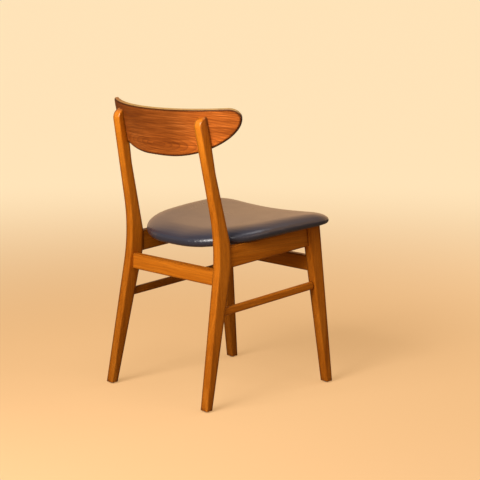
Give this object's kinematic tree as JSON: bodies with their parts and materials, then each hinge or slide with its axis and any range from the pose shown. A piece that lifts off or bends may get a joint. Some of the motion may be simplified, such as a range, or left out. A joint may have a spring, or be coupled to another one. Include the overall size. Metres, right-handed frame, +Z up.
{
  "type": "dining chair",
  "caption": "Dining chair with bent rear legs that carry a curved veneered plywood backrest, tapered front legs, side stretchers and a dished upholstered leather seat.",
  "frame": {"origin": "on the floor, under the middle of the chair's overall width and depth", "axes": "+Z up; -Y is the front, the way a sitter faces; +X is the sitter's left"},
  "size_m": [0.4988, 0.4702, 0.7728],
  "materials": {
    "frame_wood": "stained beech, satin lacquer",
    "dowel_wood": "bare beech",
    "plywood": "plywood, edge lacquered",
    "teak_veneer": "teak veneer, satin lacquer",
    "glide_steel": "plated steel",
    "screw_steel": "plated steel",
    "seat_padding": "upholstery foam",
    "lining_cloth": "woven underlining",
    "seat_leather": "smooth black leather, satin"
  },
  "bodies": {
    "root": {"rear_leg_left": "frame_wood", "rear_leg_right": "frame_wood", "front_leg_left": "frame_wood", "front_leg_right": "frame_wood", "side_rail_left": "frame_wood", "side_rail_right": "frame_wood", "front_rail": "frame_wood", "rear_rail": "frame_wood", "side_stretcher_left": "frame_wood", "side_stretcher_right": "frame_wood", "side_rail_dowels": "dowel_wood", "front_rail_dowels": "dowel_wood", "rear_rail_dowels": "dowel_wood", "front_leg_glides": "glide_steel", "rear_leg_glides": "glide_steel", "backrest_core": "plywood", "backrest_rear_veneer": "teak_veneer", "backrest_front_veneer": "teak_veneer", "backrest_screws": "screw_steel", "backrest_plugs": "teak_veneer", "seat_board": "plywood", "seat_foam": "seat_padding", "seat_lining": "lining_cloth", "seat_cover": "seat_leather", "seat_screws": "screw_steel"}
  },
  "joints": []
}
